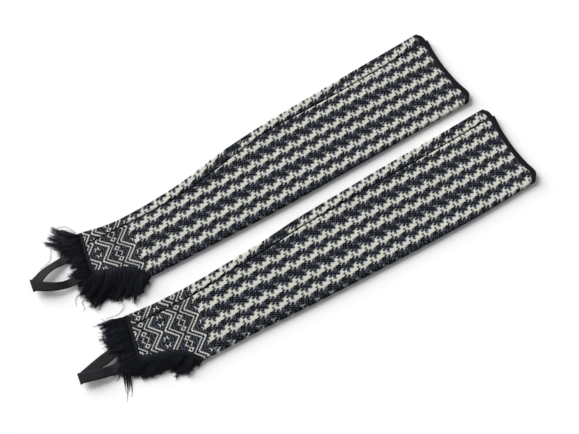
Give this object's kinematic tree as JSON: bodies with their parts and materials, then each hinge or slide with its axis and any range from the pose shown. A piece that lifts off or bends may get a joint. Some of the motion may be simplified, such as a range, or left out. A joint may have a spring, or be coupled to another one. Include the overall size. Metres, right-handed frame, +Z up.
{
  "type": "pair of leg warmers",
  "caption": "Pair of long knitted leg warmers laid flat: two-colour knit tubes with a bound top hem, a shaped ankle edge with a yarn fringe, and elastic stirrup straps.",
  "frame": {"origin": "on the surface that the pair lies on, under the middle of its bounding box", "axes": "+X along the legs towards the top hems, +Y from the shin side to the calf side, +Z up out of the surface"},
  "size_m": [0.7396, 0.3212, 0.0117],
  "materials": {
    "knit": "matte two-colour jacquard knit, ivory and blue-black",
    "binding": "matte black folded knit binding",
    "band": "matte black smooth header of the fringe",
    "fringe": "matte black wool yarns",
    "strap": "matte black ribbed elastic"
  },
  "bodies": {
    "root": {"far_leg_knit_tube": "knit", "far_leg_top_binding": "binding", "far_leg_ankle_band": "band", "far_leg_fringe": "fringe", "far_leg_stirrup_strap": "strap", "near_leg_knit_tube": "knit", "near_leg_top_binding": "binding", "near_leg_ankle_band": "band", "near_leg_fringe": "fringe", "near_leg_stirrup_strap": "strap"}
  },
  "joints": []
}
